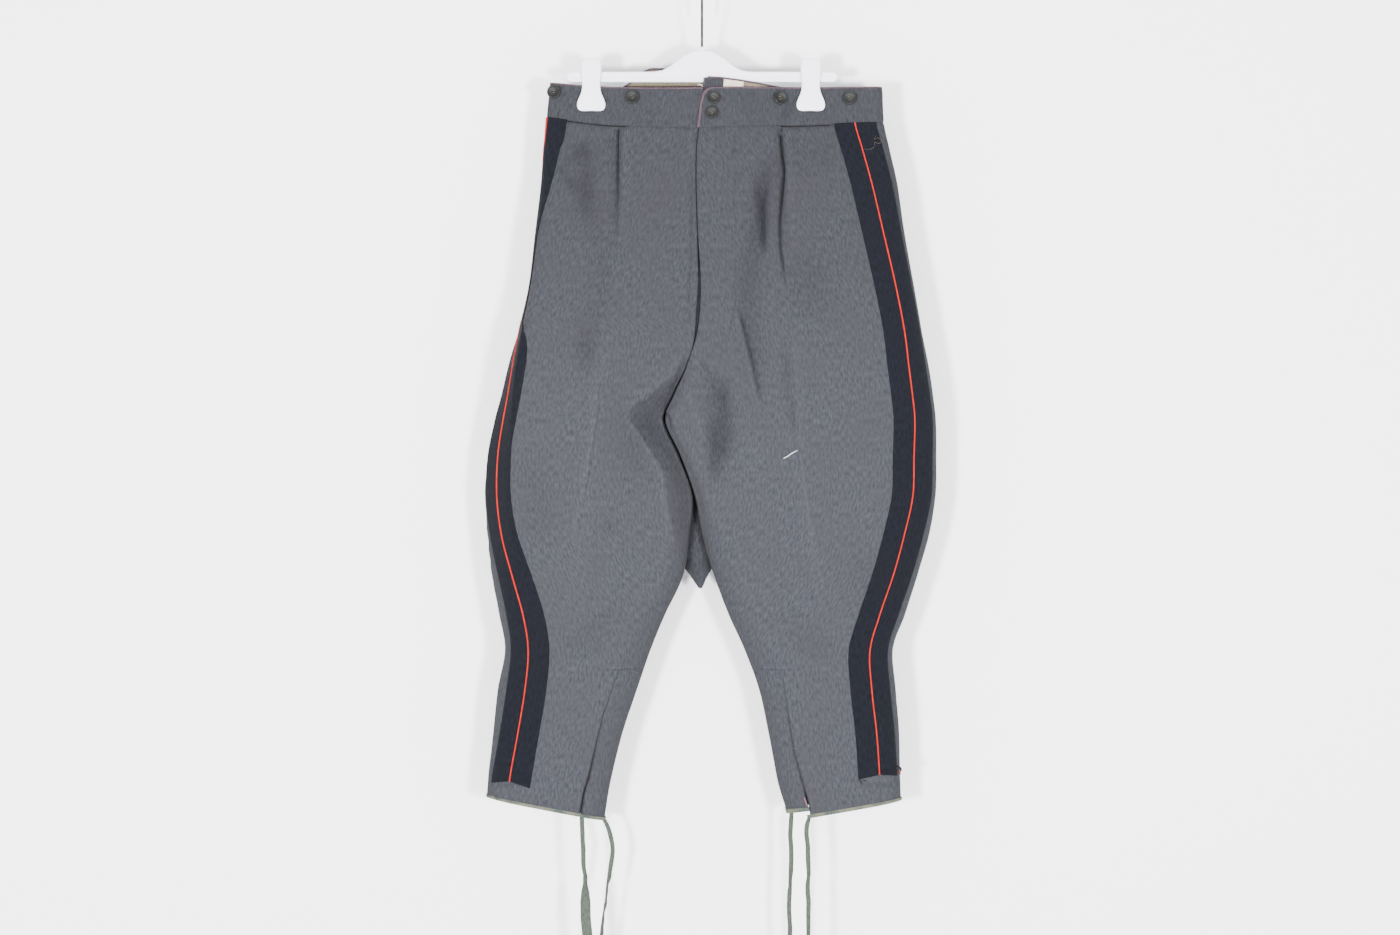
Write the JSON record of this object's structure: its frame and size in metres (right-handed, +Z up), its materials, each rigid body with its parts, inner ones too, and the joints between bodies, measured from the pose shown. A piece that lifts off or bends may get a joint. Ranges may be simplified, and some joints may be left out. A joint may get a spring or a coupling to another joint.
{
  "type": "military riding breeches on a clip hanger",
  "caption": "Grey uniform riding breeches with black side bands, red piping and tape ties, clipped by the waistband to a plain hanger.",
  "frame": {"origin": "inside the top of the hanger hook, where it rests on a rail or nail", "axes": "+Z up, the front of the breeches faces -Y, +X to the right of someone looking at the front"},
  "size_m": [0.5719, 0.1029, 1.3281],
  "materials": {
    "cloth": "matt grey wool cloth",
    "band_cloth": "black napped wool",
    "red_piping": "orange-red felt piping",
    "rose_piping": "dusty rose piping",
    "tape": "grey-green cotton tape",
    "cream_tape": "plain cream cotton",
    "button": "dark dished button",
    "hanger_plastic": "white moulded plastic",
    "wire": "black coated wire"
  },
  "bodies": {
    "root": {"front_right": "cloth", "back_right": "cloth", "calf_placket_right": "cloth", "waistband_right": "cloth", "band_front_right": "band_cloth", "band_back_right": "band_cloth", "side_piping_right": "red_piping", "waist_piping_right": "rose_piping", "hem_binding_right": "tape", "clip_front_right": "hanger_plastic", "clip_back_right": "hanger_plastic", "brace_button_front_right": "button", "brace_button_side_right": "button", "brace_button_back_right": "button", "front_left": "cloth", "back_left": "cloth", "calf_placket_left": "cloth", "waistband_left": "cloth", "band_front_left": "band_cloth", "band_back_left": "band_cloth", "side_piping_left": "red_piping", "waist_piping_left": "rose_piping", "hem_binding_left": "tape", "clip_front_left": "hanger_plastic", "clip_back_left": "hanger_plastic", "brace_button_front_left": "button", "brace_button_side_left": "button", "brace_button_back_left": "button", "fly_underlap": "cloth", "waist_tab": "cream_tape", "fly_button_upper": "button", "fly_button_lower": "button", "tie_right_a": "tape", "tie_right_b": "tape", "tie_left_c": "tape", "tie_left_d": "tape", "hanger_bar": "hanger_plastic", "hanger_hook": "wire"}
  },
  "joints": []
}
